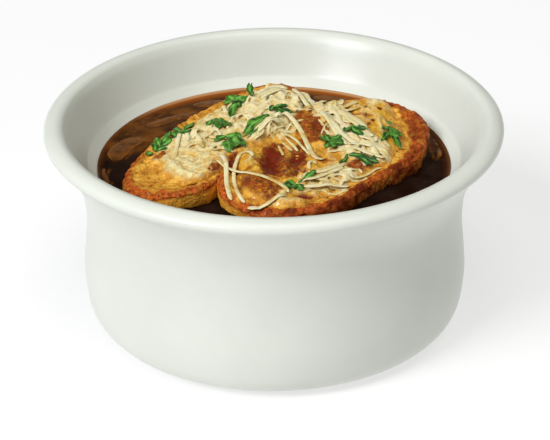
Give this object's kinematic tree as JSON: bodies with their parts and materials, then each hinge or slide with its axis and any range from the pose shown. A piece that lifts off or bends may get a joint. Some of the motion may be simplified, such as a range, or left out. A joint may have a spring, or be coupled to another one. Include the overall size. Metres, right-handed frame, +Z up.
{
  "type": "french onion soup",
  "caption": "Flared round stoneware crock filled with brown onion broth, topped with toasted baguette slices under melted and shredded cheese and torn parsley.",
  "frame": {"origin": "on the table, under the middle of the crock's foot", "axes": "+Z up; +Y away from the side that is nearest in the usual view; +X to the right of it; the long toasts run from the front left to the back right"},
  "size_m": [0.14, 0.14, 0.066],
  "materials": {
    "glaze": "glossy white glazed stoneware",
    "broth": "wet dark brown broth",
    "onion": "wet, soft brown onion",
    "toast": "toasted bread with a browned crust",
    "melted_cheese": "melted cheese, golden where it browned, slightly oily",
    "shredded_cheese": "soft pale shredded cheese",
    "parsley": "fresh torn leaf"
  },
  "bodies": {
    "root": {"bowl": "glaze", "soup": "broth", "onion_01": "onion", "onion_02": "onion", "onion_03": "onion", "onion_04": "onion", "onion_05": "onion", "onion_06": "onion", "onion_07": "onion", "toast_left": "toast", "toast_right": "toast", "melted_cheese": "melted_cheese", "shredded_cheese": "shredded_cheese", "parsley_01": "parsley", "parsley_02": "parsley", "parsley_03": "parsley", "parsley_04": "parsley", "parsley_05": "parsley", "parsley_06": "parsley", "parsley_07": "parsley", "parsley_08": "parsley", "parsley_09": "parsley", "parsley_10": "parsley", "parsley_11": "parsley", "parsley_12": "parsley", "parsley_13": "parsley"}
  },
  "joints": []
}
